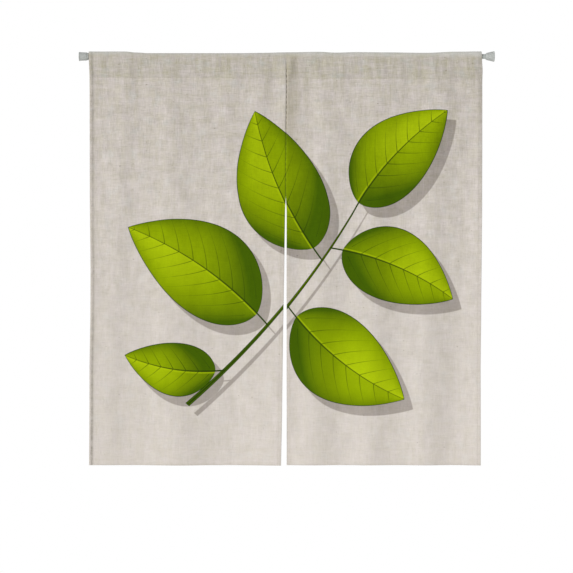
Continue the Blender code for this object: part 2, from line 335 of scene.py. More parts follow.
# The studio. The photo is square; its middle shows this spot of the model, at this width
VIEW_X = 0.4486
VIEW_Z = -0.4976
VIEW_WIDTH = 1.2396
LENS = 100.0
SENSOR = 36.0
FLOOR_Z = -1.90
FLOOR_HALF = 15.0
FLOOR_BEHIND = 4.0
FLOOR_GLOW = 0.36
WHITE = (1.0, 1.0, 1.0, 1.0)
ROOM_LIGHT = 0.49

# Soft lights: a key from the upper left, a weak one before the hem and one for the back
Softbox = namedtuple("Softbox", "name place target side watts")
SOFTBOXES = (
    Softbox("key", (-15.65, -12.40, 5.65), (0.45, 0.0, -0.45), 6.0, 3360.0),
    Softbox("low_fill", (0.55, -1.30, -1.35), (0.50, 0.0, -0.75), 0.8, 6.5),
    Softbox("back_fill", (3.20, 5.20, 1.40), (0.45, 0.0, -0.45), 2.5, 310.0),
)


def between(low, high, share):
    """The value that lies that share of the way from low to high."""
    return low + (high - low) * share


def eased(share):
    """A share from 0 to 1 that starts and ends softly: a half cosine."""
    return (1 - np.cos(np.pi * np.clip(share, 0, 1))) / 2


def bell(distance):
    """1 in the middle, falling to 0 on both sides: exp(-distance^2)."""
    return np.exp(-(distance**2))


def above_slit(z, below, height):
    """1 above the slit's top and 0 under it, eased over that height from that far below it."""
    return eased((z - SLIT_TOP_Z + below) / height)


def below_rod(z, start, height):
    """0 at the rod's axis and 1 below it, eased over that height from that far down."""
    return eased((-z - start) / height)


def seam_x(z):
    """Where the sewn seam stands along the rod at height z."""
    heights, drifts = zip(*SEAM_LINE)
    return SEAM_X + np.interp(z, heights, drifts)


def edge_at(side, z):
    """Where a long edge stands along the rod at height z: straight stretches between the table's rows,
    and the inner edges wander with the sewn seam."""
    heights = [row.z for row in reversed(EDGES)]
    edge = np.interp(z, heights, [getattr(row, side) for row in reversed(EDGES)])
    return edge + (seam_x(z) - SEAM_X if side.endswith("inner") else 0.0)


def crease_height(x):
    """The crease's height at x: each stretch between two rows of the table eased by a half cosine."""
    stations, heights = np.array(CREASE).T
    x = np.clip(x, stations[0], stations[-1])
    after = np.clip(np.searchsorted(stations, x), 1, len(stations) - 1)
    share = (x - stations[after - 1]) / (stations[after] - stations[after - 1])
    return between(heights[after - 1], heights[after], eased(share))


def seam_z(x):
    """The height of the sleeve's stitched seam at x: a straight line between its ends, which lie under
    the outer edges' places just below the rod."""
    left, right = EDGES[2].left_outer, EDGES[2].right_outer
    return between(SEAM_Z_LEFT_END, SEAM_Z_RIGHT_END, (x - left) / (right - left))


def rumple(x, z):
    """Unevenness of washed linen: plane waves of random lean, phase and length, each a sine of 14 to
    70 mm whose crests run mostly upright, and as high as a small share of its length."""
    rng = np.random.default_rng(11)
    total = np.zeros(np.broadcast(x, z).shape)
    for _ in range(RUMPLES):
        wave = rng.uniform(0.014, 0.070)
        lean = rng.normal(0.0, 0.42)
        phase = rng.uniform(0, 2 * np.pi)
        turn = 2 * np.pi / wave * (x * math.cos(lean) + z * math.sin(lean)) + phase
        total += RUMPLE_SHARE * wave * np.sin(turn)
    return total


def hang_y(folds, x, z):
    """Where the middle of the cloth hangs: a plane that leans back evenly towards the bottom, less a
    bell exp(-(dx/reach)^2) for each fold, less the same with a bell lengthways for each pucker, less
    the seam's ridge and the rumple, which is weaker towards the bottom."""
    top = seam_z(x)
    share = (top - z) / (top - BOTTOM_Z)
    y = between(HANG_BACK_TOP, HANG_BACK_BOTTOM, share)
    for fold in folds:
        middle = between(fold.x_top, fold.x_bottom, share)
        reach = between(fold.reach_top, fold.reach_bottom, share)
        upper = between(fold.rise_top, fold.rise_slit, (top - z) / (top - SLIT_TOP_Z))
        lower = between(fold.rise_slit, fold.rise_bottom, (SLIT_TOP_Z - z) / (SLIT_TOP_Z - BOTTOM_Z))
        y = y - np.where(z > SLIT_TOP_Z, upper, lower) * bell((x - middle) / reach)
    for crease in PUCKERS:
        across = (x - crease.x - crease.lean * (z - crease.z)) / crease.reach
        y = y - crease.rise * bell(across) * bell((z - crease.z) / crease.length)
    return y - seam_ridge(x, z) - between(1.0, RUMPLE_AT_BOTTOM, share) * rumple(x, z)


def seam_ridge(x, z):
    """How far the cloth beside the sewn seam comes forward: a bell for the ridge less a narrow one for
    the groove along its top, both fading out on either side of the slit's top."""
    off = x - seam_x(z)
    ridge = SEAM_RIDGE_RISE * above_slit(z, *RIDGE_START) * bell(off / SEAM_RIDGE_REACH)
    return ridge - SEAM_GROOVE_DEPTH * above_slit(z, *GROOVE_START) * bell(off / SEAM_GROOVE_REACH)


class Panel:
    """One panel of cloth: its grid of spots, and the two skins that its thickness lies between."""

    def __init__(self, node, left_side, right_side, flat_left, folds):
        self.node = node
        self.sides = (left_side, right_side)
        self.folds = folds
        near = np.array(COLUMNS_IN_HEM)
        first = near[-1] + NEXT_COLUMN
        inside = np.linspace(first, PANEL_WIDTH - first, COLUMNS - 2 * len(near))
        self.shares = np.concatenate((near, inside, (PANEL_WIDTH - near)[::-1])) / PANEL_WIDTH
        self.flat_x = flat_left + self.shares * PANEL_WIDTH
        self.lay_rows()
        self.raise_skins()

    def x_at(self, z):
        """Each spot's place along the rod: its share of the way between the panel's edges at z."""
        left, right = (edge_at(side, z) for side in self.sides)
        return between(left + RIM, right - RIM, self.shares)

    def hung(self, z):
        """A row of spots of the hanging cloth at height z."""
        return self.x_at(z), hang_y(self.folds, self.x_at(z), z), z

    def lay_rows(self):
        """The middle of the cloth, row by row: up the drop, up the sleeve's front wall, over the rod on
        a half ellipse, down the back wall and along the lap, which lies a layer behind the drop."""
        middle_z = (SEAM_Z_LEFT_END + SEAM_Z_RIGHT_END) / 2
        foot = seam_z(self.x_at(np.full((1, 1), middle_z)))
        foot_y = self.hung(foot)[1]
        low = np.concatenate((ROWS_IN_HEM, BOTTOM_STITCH_UP + np.array(ROWS_AT_STITCH)))[:, None]
        rest = rows_up(DROP_ROWS)[1:, None]
        drop = np.concatenate((BOTTOM_Z + low + 0 * foot, between(BOTTOM_Z + low[-1], foot, rest)))

        side = ROD_ROOM + CLOTH / 2
        climb = (np.arange(1, WALL_ROWS) / WALL_ROWS)[:, None]
        wall_z = foot * (1 - climb)
        wall_x = self.x_at(wall_z)
        slack = np.sin(np.pi * climb)
        crumple = self.sleeve_crumple(wall_x, wall_z)
        front_y = between(foot_y, -side, climb) - BELLY * slack
        front_y = front_y - (crumple + self.sleeve_creases(wall_x)) * slack
        front_y = front_y - seam_ridge(wall_x, 0.0) * (1 - climb)
        back_y = between(foot_y + LAYER_BEHIND, side, climb) + (BELLY + CRUMPLE_AT_BACK * crumple) * slack

        turn = (np.pi * np.arange(ARC_ROWS + 1) / ARC_ROWS)[:, None]
        arc_z = (crease_height(self.x_at(0 * foot)) - CLOTH / 2) * np.sin(turn)
        arc_y = -side * np.cos(turn) + 0 * foot
        lap_x, lap_y, lap_z = self.hung(foot - np.array(ROWS_IN_LAP)[:, None])
        rows = (
            self.hung(drop),
            (wall_x, front_y, wall_z),
            (self.x_at(arc_z), arc_y, arc_z),
            (wall_x[::-1], back_y[::-1], wall_z[::-1]),
            (lap_x, lap_y + LAYER_BEHIND, lap_z),
        )
        self.middle = np.concatenate([np.stack(np.broadcast_arrays(*row), axis=-1) for row in rows])
        self.drop_rows = len(drop)

    def sleeve_crumple(self, x, z):
        """Unevenness of the sleeve below the rod: upright sines of 16 to 55 mm."""
        rng = np.random.default_rng(5)
        total = 0.0
        for wave in rng.uniform(0.016, 0.055, CRUMPLES):
            turn = 2 * np.pi * (x + CRUMPLE_SLANT * z) / wave + rng.uniform(0, 6.3)
            total = total + CRUMPLE_HEIGHT * np.sin(turn)
        return total

    def sleeve_creases(self, x):
        """How far the sleeve's creases come forward: a bell across each of them."""
        return sum(crease.rise * bell((x - crease.x) / crease.reach) for crease in SLEEVE_CREASES)

    def raise_skins(self):
        """Both skins, along the normals of the middle: half a layer outwards, and half a layer and the
        turned-under hem inwards. Stitch lines are pressed in as narrow grooves."""
        normal = np.cross(np.gradient(self.middle, axis=1), np.gradient(self.middle, axis=0))
        self.normal = normal / np.linalg.norm(normal, axis=-1, keepdims=True)
        steps = np.linalg.norm(np.diff(self.middle, axis=0), axis=-1)
        self.path = np.concatenate((np.zeros((1, steps.shape[1])), np.cumsum(steps, axis=0)))

        edge = np.minimum(self.shares, 1 - self.shares) * PANEL_WIDTH
        in_side_hem = 1 - eased((edge - SIDE_HEM + HEM_STEP / 2) / HEM_STEP)
        in_bottom_hem = 1 - eased((self.path - BOTTOM_HEM + HEM_STEP / 2) / HEM_STEP)
        hem = np.maximum(in_side_hem * below_rod(self.middle[..., 2], *HEM_START), in_bottom_hem)

        rounding = np.ones((len(self.middle), 1))
        rounding[:3, 0] = END_ROUNDING
        rounding[-3:, 0] = END_ROUNDING[::-1]
        groove = self.stitch_grooves(edge)
        outer_lift = (CLOTH / 2) * rounding - groove
        inner_lift = (CLOTH / 2 + HEM_LAYER * hem) * rounding - groove * INNER_PULL
        self.outer = self.middle + self.normal * outer_lift[..., None]
        self.inner = self.middle - self.normal * inner_lift[..., None]

    def stitch_grooves(self, edge):
        """How deep the thread pulls the cloth in: narrow bells over each line of stitches, half as deep at
        the bottom and half as deep again at the sleeve's seam, rippled along the line."""
        middle_x, middle_z = self.middle[..., 0], self.middle[..., 2]
        side = bell((edge - HEM_STITCH_IN) / SIDE_PULL)
        side = side * (0.75 + 0.25 * np.cos(2 * np.pi * self.path / PULL_RIPPLE))
        at_seam = (edge < SEWN_REACH) & (np.abs(middle_x - SEAM_X) < SEWN_REACH)
        sewn = at_seam & (middle_z > SLIT_TOP_Z)
        bottom = bell((self.path - BOTTOM_STITCH_UP) / BOTTOM_PULL)
        sleeve = bell((self.path - self.path[self.drop_rows - 1]) / SLEEVE_PULL)
        pitch = HEM_STITCHES.length + HEM_STITCHES.gap
        ripple = 0.8 + 0.2 * np.cos(2 * np.pi * self.flat_x / (3 * pitch))
        return PULL_DEPTH * (side * (1 - sewn) + (0.5 * bottom + 1.5 * sleeve) * ripple)

    def ring_rows(self):
        """Each row as a closed ring: along the outer skin, round one edge, back along the inner skin and
        round the other edge. An edge is half an ellipse, as thick as the cloth is there."""
        rims = []
        turns = np.radians(RIM_TURNS)
        for column, outwards in ((-1, 1), (0, -1)):
            outer, inner = self.outer[:, None, column], self.inner[:, None, column]
            rise = -outwards * np.sin(turns)[None, :, None] * (outer - inner) / 2
            reach = outwards * np.cos(turns)[None, :, None] * np.array((RIM, 0.0, 0.0))
            rims.append((outer + inner) / 2 + rise + reach)
        return np.concatenate((self.outer, rims[0], self.inner[:, ::-1], rims[1]), axis=1)

    def build(self, name):
        """The sheet as one closed mesh, with its cloth coordinates as attributes of its points."""
        ring = self.ring_rows()
        rows, size = ring.shape[:2]
        columns, rim = len(self.shares), len(RIM_TURNS)
        index, quads = tube_quads(rows, size)
        front = index[:, :columns]
        back = index[:, columns + rim:2 * columns + rim][:, ::-1]
        low = np.stack((front[0, :-1], back[0, :-1], back[0, 1:], front[0, 1:]), axis=-1)
        high = np.stack((front[-1, :-1], front[-1, 1:], back[-1, 1:], back[-1, :-1]), axis=-1)
        ends = []
        for row, step in ((0, -1), (rows - 1, 1)):
            right_loop = [front[row, -1], *index[row, columns:columns + rim], back[row, -1]]
            left_loop = [back[row, 0], *index[row, size - rim:], front[row, 0]]
            ends += [right_loop[::step], left_loop[::step]]
        sheet = new_mesh(name, ring.reshape(-1, 3), [*quads.tolist(), *low.tolist(), *high.tolist(), *ends])

        flat = np.broadcast_to(self.flat_x, self.path.shape)
        rims = np.full((rows, rim), 0.5)
        behind = np.concatenate((0 * flat, rims, 0 * flat + 1, rims), axis=1)
        height = self.round_ring(self.path) + BOTTOM_Z
        point_values(sheet, "on_cloth", self.round_ring(flat), height, behind)
        # Painted shades: along the sides, over the sleeve above its seam, and right of the sewn seam
        above_seam = self.path - self.path[self.drop_rows - 1]
        shades = (self.round_ring(values) for values in (self.side_shade(), above_seam, self.seam_shade()))
        point_values(sheet, "painted_light_fields", *shades)
        return sheet

    def round_ring(self, values):
        """Values for the grid of one skin, repeated for the rims and the other skin."""
        rims = np.ones((len(values), len(RIM_TURNS)))
        return np.concatenate((values, rims * values[:, -1:], values[:, ::-1], rims * values[:, :1]), axis=1)

    def side_shade(self):
        """How much painted shade greys the cloth along the panel's sides, from 0 to 1: a bell over each hem,
        the sewn seam's groove, which is faint in the sleeve, and a thin line along the bottom edge."""
        x, z = self.middle[..., 0], self.middle[..., 2]
        total = BOTTOM_SHADE * (1 - eased(self.path / BOTTOM_SHADE_UP))
        for side, distance in zip(self.sides, (self.shares, 1 - self.shares)):
            shade = SIDE_SHADES[side]
            place = between(shade.place_top, shade.place_bottom, z / BOTTOM_Z)
            strength = np.interp(z / BOTTOM_Z, SHADE_HEIGHTS, (shade.top, shade.middle, shade.bottom))
            total = np.maximum(total, strength * bell((distance * PANEL_WIDTH - place) / shade.reach))
        # Painted shade in the sewn seam's groove
        groove = bell((x - seam_x(z)) / SEAM_GROOVE_REACH) * above_slit(z, *SHADE_START)
        groove = groove * between(SLEEVE_GROOVE_SHADE, GROOVE_SHADE, below_rod(z, *DROP_SHADE_START))
        return np.maximum(total, groove * below_rod(z, *GROOVE_SHADE_START))

    def seam_shade(self):
        """How much olive painted shade lies on the cloth right of the sewn seam, where its allowance lies
        under it.
        """
        x, z = self.middle[..., 0], self.middle[..., 2]
        beyond = x - seam_x(z)
        wide = np.where(beyond > 0, 1 - eased(beyond / SEAM_SHADE_WIDTH), 0)
        return SEAM_SHADE * wide * above_slit(z, *SHADE_START)

    def skin_spots(self, skin, column, row):
        """Points of a skin at fractional columns and rows, by straight lines between its grid points."""
        c = np.clip(np.floor(column).astype(int), 0, skin.shape[1] - 2)
        r = np.clip(np.floor(row).astype(int), 0, skin.shape[0] - 2)
        s, t = (column - c)[:, None], (row - r)[:, None]
        near, far = (between(skin[at, c], skin[at, c + 1], s) for at in (r, r + 1))
        return between(near, far, t)


def rows_up(count):
    """Shares from 0 to 1, even but a little closer together near 1, where the sleeve's seam is."""
    even = np.linspace(0, 1, count)
    return even + CROWDING * even * (1 - even) * even


def tube_quads(rows, size):
    """The numbers of the points of rings laid one after another, and the quads between the rings."""
    index = np.arange(rows * size).reshape(rows, size)
    turned = np.roll(index, -1, axis=1)
    return index, np.stack((index[:-1], turned[:-1], turned[1:], index[1:]), axis=-1).reshape(-1, 4)


def new_mesh(name, points, faces):
    """A mesh object at the origin from an array of points and a list of faces, shaded smooth."""
    data = bpy.data.meshes.new(name)
    data.from_pydata(points.tolist(), [], faces)
    data.update()
    data.shade_smooth()
    made = bpy.data.objects.new(name, data)
    bpy.context.scene.collection.objects.link(made)
    return made


def point_values(thing, name, *values):
    """Three numbers for each point of a mesh, as a vector attribute that a material reads."""
    layer = thing.data.attributes.new(name, "FLOAT_VECTOR", "POINT")
    triples = np.stack([value.ravel() for value in values], axis=-1)
    layer.data.foreach_set("vector", triples.astype(np.float32).ravel())


def thread_mesh(name, stitches):
    """Stitches as one mesh. Each is a thread of round section from start to end, thinner at both ends,
    whose middle rises on a half sine so that it lies on the cloth and dips into it where it starts and
    stops. A start or end is x, y, z, and the same spot's place across and up the flat cloth."""
    starts, ends, normals, radii = (np.concatenate(part) for part in zip(*stitches))
    s = np.linspace(0, 1, STITCH_STEPS)
    spots = starts[:, None] + s[None, :, None] * (ends - starts)[:, None]
    side = unit(np.cross(unit((ends - starts)[:, :3]), normals))
    rise = radii[:, None] * (STITCH_RISE * np.sin(np.pi * s) - STITCH_DIP)
    middle = spots[..., :3] + rise[..., None] * normals[:, None]
    radius = radii[:, None] * between(STITCH_END, 1.0, np.sin(np.pi * s) ** 0.5)
    turn = (2 * np.pi * np.arange(STITCH_SIDES) / STITCH_SIDES)[None, None, :, None]
    ring = np.cos(turn) * normals[:, None, None] + np.sin(turn) * side[:, None, None]
    points = middle[:, :, None] + radius[:, :, None, None] * ring
    index = np.arange(points[..., 0].size).reshape(-1, STITCH_STEPS, STITCH_SIDES)
    turned = np.roll(index, -1, axis=2)
    quads = np.stack((index[:, :-1], index[:, 1:], turned[:, 1:], turned[:, :-1]), axis=-1).reshape(-1, 4)
    first, last = index[:, 0], index[:, -1][:, ::-1]
    thread = new_mesh(name, points.reshape(-1, 3), [*quads.tolist(), *first.tolist(), *last.tolist()])
    flat = np.repeat(spots[..., None, 3:], STITCH_SIDES, axis=2)
    back = np.broadcast_to((normals[:, 1] > 0)[:, None, None], flat.shape[:3]) * 1.0
    point_values(thread, "on_cloth", flat[..., 0], flat[..., 1], back)
    return thread


def unit(vectors):
    """Vectors of length 1 in the same directions."""
    return vectors / np.linalg.norm(vectors, axis=1, keepdims=True)


def row_of_stitches(panel, skin, facing, columns, rows, kind):
    """Stitches along a polyline of fractional grid places on a skin, one after another at even pitch."""
    flat = np.stack((np.broadcast_to(panel.flat_x, panel.path.shape), panel.path + BOTTOM_Z), axis=-1)
    spots = panel.skin_spots(np.concatenate((skin, flat), axis=-1), columns, rows)
    normals = panel.skin_spots(panel.normal, columns, rows) * facing
    steps = np.linalg.norm(np.diff(spots[:, :3], axis=0), axis=1)
    length = np.concatenate(([0.0], np.cumsum(steps)))
    starts = np.arange(FIRST_STITCH, length[-1] - kind.length, kind.length + kind.gap)
    first, last, tilt = (
        np.stack([np.interp(at, length, values) for values in line.T], axis=-1)
        for at, line in ((starts, spots), (starts + kind.length, spots), (starts, normals))
    )
    return first, last, unit(tilt), np.full(len(starts), kind.radius)


def side_hem_thread(panel, name):
    """The thread down both side hems of a panel, front and back. The sewn side's shows only below the
    slit's top; above it the seam hides it."""
    foot = panel.drop_rows - 1.0
    heights = panel.middle[:panel.drop_rows, 0, 2]
    slit = np.interp(SLIT_TOP_Z - HEMS_BELOW_SLIT, heights, np.arange(panel.drop_rows))
    rows = []
    for side, distance in zip(panel.sides, (HEM_STITCH_IN, PANEL_WIDTH - HEM_STITCH_IN)):
        up = np.linspace(2.0, slit if side.endswith("inner") else foot, SIDE_SPOTS)
        column = np.interp(distance, panel.shares * PANEL_WIDTH, np.arange(len(panel.shares)))
        for skin, facing in ((panel.outer, 1.0), (panel.inner, -1.0)):
            rows.append(row_of_stitches(panel, skin, facing, 0 * up + column, up, HEM_STITCHES))
    return thread_mesh(name, rows)


def cross_hem_thread(panel, name):
    """The thread along a panel's bottom hem and along its sleeve's seam, front and back."""
    across = np.linspace(0.5, len(panel.shares) - 1.5, CROSS_SPOTS)
    path = panel.path[:, len(panel.shares) // 2]
    bottom = np.interp(BOTTOM_STITCH_UP, path, np.arange(len(path)))
    lines = (
        (panel.outer, 1.0, bottom),
        (panel.inner, -1.0, bottom),
        (panel.outer, 1.0, panel.drop_rows - 1.0),
        (panel.outer, 1.0, len(path) - 4.0),
    )
    return thread_mesh(name, [
        row_of_stitches(panel, skin, facing, across, 0 * across + row, HEM_STITCHES)
        for skin, facing, row in lines
    ])


def seam_thread(left, right):
    """The thread that joins the two panels, front and back, on whichever skin stands out further: long
    running stitches in the seam's groove from inside the sleeve down, and a close-set tack at the slit's
    top."""
    low, high = SLIT_TOP_Z, SLIT_TOP_Z + TACK_LENGTH
    running = np.arange(high, SEAM_THREAD_TOP, SEAM_STITCHES.length + SEAM_STITCHES.gap)
    tacked = np.arange(low - TACK_BELOW_SLIT, high - TACK_BELOW_SLIT, TACK.length + TACK.gap)
    rows = []
    count = left.drop_rows + WALL_ROWS - 1
    for skin, facing, outermost in (("outer", -1.0, np.minimum), ("inner", 1.0, np.maximum)):
        left_edge, right_edge = getattr(left, skin)[:count, -1], getattr(right, skin)[:count, 0]
        height = left_edge[:, 2]
        depth = outermost(left_edge[:, 1], np.interp(height, right_edge[:, 2], right_edge[:, 1]))
        flat = left.path[:count, -1] + BOTTOM_Z
        for begins, kind in ((running, SEAM_STITCHES), (tacked, TACK)):
            ends = []
            for z in (begins, begins + kind.length):
                y, up = np.interp(z, height, depth), np.interp(z, height, flat)
                ends.append(np.stack((seam_x(z), y, z, 0 * z + SEAM_X, up), axis=-1))
            normals = np.full((len(begins), 3), (0.0, facing, 0.0))
            rows.append((*ends, normals, np.full(len(begins), kind.radius)))
    return thread_mesh("seam_thread", rows)


def cap_mesh(name, wall_x, inward, outline, socket):
    """A cap turned round the rod's axis: a flat wall face, the outline with its corners cut three times
    over (each straight keeps its middle half), and a blind socket for the tube."""
    mouth = outline[-1].depth
    hollow = ((mouth, socket + CAP_BEVEL), (mouth - CAP_BEVEL, socket), (CAP_FLOOR, socket))
    points = np.array([*outline, *hollow])
    for _ in range(CAP_SMOOTHING):
        head, tail = points[:-1], points[1:]
        cut = np.stack((between(head, tail, 0.25), between(head, tail, 0.75)), axis=1).reshape(-1, 2)
        points = np.concatenate((points[:1], cut, points[-1:]))
    turn = 2 * np.pi * np.arange(CAP_TURNS) / CAP_TURNS
    depth, radius = points[:, :1], points[:, 1:]
    x = wall_x + inward * depth + 0 * turn
    grid = np.stack((x, radius * np.sin(turn), radius * np.cos(turn)), axis=-1)
    index, quads = tube_quads(len(points), CAP_TURNS)
    hub = index.size
    turned = np.roll(index, -1, axis=1)
    face = np.stack((index[0], np.full(CAP_TURNS, hub), turned[0]), axis=-1)
    floor = np.stack((turned[-1], np.full(CAP_TURNS, hub + 1), index[-1]), axis=-1)
    faces = [corners[::inward] for corners in (*quads.tolist(), *face.tolist(), *floor.tolist())]
    centres = ((wall_x, 0.0, 0.0), (wall_x + inward * CAP_FLOOR, 0.0, 0.0))
    cap = new_mesh(name, np.concatenate((grid.reshape(-1, 3), centres)), faces)
    cap.data.set_sharp_from_angle(angle=math.radians(CAP_SHARP_ANGLE))
    return cap


def linear(hex_colour):
    """An sRGB hex colour such as "c8c0b4" as linear red, green, blue and alpha."""
    parts = [int(hex_colour[i:i + 2], 16) / 255 for i in (0, 2, 4)]
    return (*(c / 12.92 if c <= 0.04045 else ((c + 0.055) / 1.055) ** 2.4 for c in parts), 1.0)


# Linen: undyed flax and cotton in a plain weave, matt and uneven, with thick and thin threads that
# show as short streaks along and across, and stray dark specks of husk
LINEN_LIGHT = linear("ccc5c0")
LINEN_DARK = linear("9b958b")
LINEN_PINK = linear("c5bcbb")
LINEN_OLIVE = linear("b5af99")
LINEN_BLUISH = linear("babebb")
# Painted shade of the doubled sleeve, which lets less light through
LINEN_SLEEVE_PAINTED_SHADE = linear("7a7b64")
# Painted shade of the seam's allowance under the cloth
LINEN_SEAM_PAINTED_SHADE = linear("8f8664")
# Painted shade along the hems, in the seam's groove and along the bottom edge
LINEN_SHADED = linear("77736a")
# Painted highlight along the sleeve's crease
LINEN_CREASE_PAINTED_HIGHLIGHT = linear("cfd2ce")
HUSK = linear("6f6656")

# How far apart the threads are, and over what length one gets thicker and thinner. Then how large the
# weave's patterns are: its clouds, its cool patches, the cells that hold a speck of husk each, the
# specks' ragged edge, and the patches in the hems' painted shade
THREAD_PITCH = 0.0011
SLUB_LENGTH = 0.022
CLOUD_SIZE = 0.0263
COOL_SIZE = 0.0250
HUSK_CELL_WIDTH = 0.0294
HUSK_CELL_HEIGHT = 0.0200
RAGGED_SIZE = 0.00238
PATCH_SIZE = 0.0143

# And those of the other finishes: a turn of the thread's twist and its soiled stretches, the plastic's
# grain and clouds, the coating's orange peel and scratches, and the floor's clouds
TWIST_PITCH = 0.000349
SOIL_LENGTH = 0.01333
GRAIN_SIZE = 0.000385
GLOSS_PATCH_SIZE = 0.00417
PEEL_SIZE = 0.00143
SCRATCH_LENGTH = 0.0556
SCRATCH_WIDTH = 0.00111
FLOOR_CLOUD_SIZE = 0.714

# How long a wave of the wave texture is at a scale of 1
WAVE_PERIOD = 0.1 * math.pi

# Printing ink on it: leaf greens, and a grey drop shadow under the sprig
INK_BRIGHT = linear("9aae0a")
INK_MIDDLE = linear("7b9002")
INK_DARK = linear("3b5403")
INK_LINE = linear("1f3306")
SHADOW_TINT = (0.60, 0.585, 0.575, 1.0)

# What a node group's sockets are called where they carry a number, a place or a colour
NUMBER, PLACE, COLOUR = "NodeSocketFloat", "NodeSocketVector", "NodeSocketColor"
BLADE_INPUTS = {"Place": PLACE, "Length": NUMBER, "Half width": NUMBER, "Bow": NUMBER, "Is leaf": NUMBER}
INK_INPUTS = {"Under": COLOUR, "Vein spacing": NUMBER, "Darkness": NUMBER}

# Settings that make a Mix node mix the colours of its inputs 6 and 7, and ease a Map Range node
COLOURS = {"out": 2, "data_type": "RGBA"}
SOFTLY = {"interpolation_type": "SMOOTHSTEP"}


def add(tree, kind, *inputs, out=0, **settings):
    """Adds a node and returns one of its outputs. A kind such as "Math.MULTIPLY" names the operation after
    the dot. Inputs are numbers, colours or links in their order, or one dictionary of them."""
    kind, _, operation = kind.partition(".")
    if operation:
        settings["operation"] = operation
    made = tree.nodes.new("ShaderNode" + kind)
    for name, value in settings.items():
        setattr(made, name, value)
    named = inputs[0] if inputs and isinstance(inputs[0], dict) else dict(enumerate(inputs))
    for key, value in named.items():
        if isinstance(value, bpy.types.NodeSocket):
            tree.links.new(value, made.inputs[key])
        else:
            made.inputs[key].default_value = value
    return made.outputs[out]


def new_material(name, **settings):
    """A material with one Principled shader, whose own sockets take the constant settings."""
    material = bpy.data.materials.new(name)
    material.use_nodes = True
    shader = material.node_tree.nodes["Principled BSDF"]
    for socket, value in settings.items():
        shader.inputs[socket.replace("_", " ")].default_value = value
    return material, material.node_tree, shader


def finish(tree, shader, colour, relief, strength, depth, rough=None):
    """Ends a material: its colour, its relief of that depth in metres, and its roughness if it varies."""
    tree.links.new(colour, shader.inputs["Base Color"])
    bump = add(tree, "Bump", {"Height": relief, "Strength": strength, "Distance": depth})
    tree.links.new(bump, shader.inputs["Normal"])
    if rough is not None:
        tree.links.new(rough, shader.inputs["Roughness"])


def new_group(name, given, made):
    """A node group with named inputs and outputs of the kinds given, and the inputs as its nodes see
    them."""
    group = bpy.data.node_groups.new(name, "ShaderNodeTree")
    for in_out, sockets in (("INPUT", given), ("OUTPUT", made)):
        for socket, kind in sockets.items():
            group.interface.new_socket(socket, in_out=in_out, socket_type=kind)
    return group, group.nodes.new("NodeGroupInput").outputs


def shape_group():
    """The node group that gives a blade's shape from its own coordinates, which run from 0 at the
    stalk's start to 1 at the tip. Off is the distance from the rib, which bows by bow * 4 * along *
    (1 - along). Room is the half width there: for a leaf t^base * (1 - t)^tip, with the two powers named
    above, scaled to its greatest width, where t runs from the stalk's end to the tip; for the twig a
    taper. Edge is room less off."""
    results = dict.fromkeys(("Along", "Off", "Room", "Edge"), NUMBER)
    group, given = new_group("blade_shape", BLADE_INPUTS, results)
    along, straight = add(group, "SeparateXYZ", given["Place"]).node.outputs[:2]
    straight = add(group, "Math.MULTIPLY", straight, given["Length"])
    rest = add(group, "Math.SUBTRACT", 1.0, along)
    arch = add(group, "Math.MULTIPLY", along, rest)
    bow = add(group, "Math.MULTIPLY", given["Bow"], -4.0)
    off = add(group, "Math.MULTIPLY_ADD", arch, bow, straight)
    t = add(group, "MapRange", along, STALK_SHARE, 1.0)
    grown = add(group, "Math.POWER", t, LEAF_BASE_POWER)
    left = add(group, "Math.SUBTRACT", 1.0, t)
    shrunk = add(group, "Math.POWER", left, LEAF_TIP_POWER)
    widest = LEAF_BASE_POWER / (LEAF_BASE_POWER + LEAF_TIP_POWER)
    full = widest**LEAF_BASE_POWER * (1 - widest) ** LEAF_TIP_POWER
    room = add(group, "Math.MULTIPLY", grown, shrunk)
    room = add(group, "Math.MULTIPLY", room, 1 / full)
    near_stalk = add(group, "Math.LESS_THAN", along, 1.5 * STALK_SHARE)
    stalk = add(group, "Math.MULTIPLY", near_stalk, STALK_HALF_WIDTH)
    leaf = add(group, "Math.MULTIPLY", room, given["Half width"])
    leaf = add(group, "Math.MAXIMUM", leaf, stalk)
    taper = add(group, "MapRange", along, 0.0, 1.0, 1.0, TWIG_TAPER)
    twig = add(group, "Math.MULTIPLY", taper, given["Half width"])
    room = add(group, "Mix", {0: given["Is leaf"], 2: twig, 3: leaf})
    side = add(group, "Math.ABSOLUTE", off)
    edge = add(group, "Math.SUBTRACT", room, side)
    middle = add(group, "Math.SUBTRACT", along, 0.5)
    middle = add(group, "Math.ABSOLUTE", middle)
    beyond = add(group, "Math.GREATER_THAN", middle, 0.503)
    edge = add(group, "Math.MULTIPLY_ADD", beyond, -1.0, edge)
    made = group.nodes.new("NodeGroupOutput").inputs
    for name, value in zip(results, (along, off, room, edge)):
        group.links.new(value, made[name])
    return group


